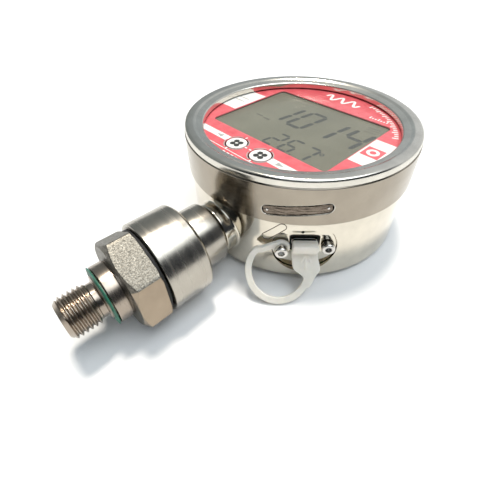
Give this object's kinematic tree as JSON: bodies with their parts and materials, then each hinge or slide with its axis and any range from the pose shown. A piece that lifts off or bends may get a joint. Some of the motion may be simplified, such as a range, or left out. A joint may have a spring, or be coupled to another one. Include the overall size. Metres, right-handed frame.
{
  "type": "digital pressure gauge",
  "caption": "Round digital pressure gauge: steel case with bayonet bezel, display and two keys, capped service port, and a swivelling threaded process stem.",
  "frame": {"origin": "centre of the case's flat back face", "axes": "+Z out of the display; -Y along the stem towards the thread; +X to the right of the display seen upright"},
  "size_m": [0.0876, 0.1422, 0.0452],
  "materials": {
    "polished_steel": "polished stainless steel",
    "turned_steel": "turned stainless steel",
    "blasted_steel": "bead blasted stainless steel",
    "screw_steel": "bright screw steel",
    "red_print": "printed satin foil",
    "clear_pane": "clear",
    "lcd_grey": "reflective display",
    "key_white": "satin",
    "black_plastic": "moulded",
    "black_rubber": "moulded",
    "green_rubber": "moulded",
    "silicone": "soft translucent silicone",
    "board_green": "solder mask",
    "cell_wrap": "shrink sleeve",
    "lead_red": "wire insulation",
    "contact_brass": "plated"
  },
  "bodies": {
    "case": {"case_cup": "polished_steel", "window_gasket": "black_rubber", "front_plate": "red_print", "lcd_pane": "clear_pane", "lcd_panel": "lcd_grey", "lcd_contact_strip": "black_rubber", "display_carrier": "black_plastic", "key_dome_left": "contact_brass", "key_dome_right": "contact_brass", "main_board": "board_green", "battery_tray": "black_plastic", "battery_pack": "cell_wrap", "port_plate": "polished_steel", "port_gasket": "black_rubber", "connector_shell": "screw_steel", "connector_tongue": "black_plastic", "port_board": "board_green", "light_pipe": "clear_pane", "port_screw_left": "screw_steel", "port_screw_right": "screw_steel", "neck_boss": "polished_steel", "swivel_o_ring": "black_rubber", "retaining_ring": "screw_steel", "signal_leads": "lead_red", "board_standoff_1": "turned_steel", "board_screw_1": "screw_steel", "board_standoff_2": "turned_steel", "board_screw_2": "screw_steel", "board_standoff_3": "turned_steel", "board_screw_3": "screw_steel", "board_standoff_4": "turned_steel", "board_screw_4": "screw_steel"},
    "bezel": {"bezel_ring": "polished_steel"},
    "key_left": {"key_left": "key_white"},
    "key_right": {"key_right": "key_white"},
    "stem": {"swivel_sleeve": "turned_steel", "sensor_housing": "turned_steel", "amplifier_board": "board_green", "sensor_capsule": "turned_steel", "isolating_diaphragm": "contact_brass", "capsule_o_ring": "black_rubber", "gap_seal": "black_rubber", "process_connection": "blasted_steel", "seal_ring": "green_rubber"},
    "cap": {"port_cap": "silicone"}
  },
  "joints": [
    {"name": "bezel_turn", "type": "hinge", "parent": "case", "child": "bezel", "pos_m": [0, 0, 0.03], "axis": [0, 0, 1], "range_deg": [0, 20]},
    {"name": "key_left_press", "type": "slide", "parent": "case", "child": "key_left", "axis": [0, 0, -1], "range_m": [0, 0.0004], "stiffness_N_per_m": 1500},
    {"name": "key_right_press", "type": "slide", "parent": "case", "child": "key_right", "axis": [0, 0, -1], "range_m": [0, 0.0004], "stiffness_N_per_m": 1500},
    {"name": "stem_swivel", "type": "hinge", "parent": "case", "child": "stem", "pos_m": [0, -0.05, 0.0129], "axis": [0, 1, 0], "range_deg": [-170, 170]},
    {"name": "cap_swing", "type": "hinge", "parent": "case", "child": "cap", "pos_m": [0.02451, -0.03607, 0.0142], "axis": [0.7009, -0.7133, 0], "range_deg": [0, 40]}
  ]
}
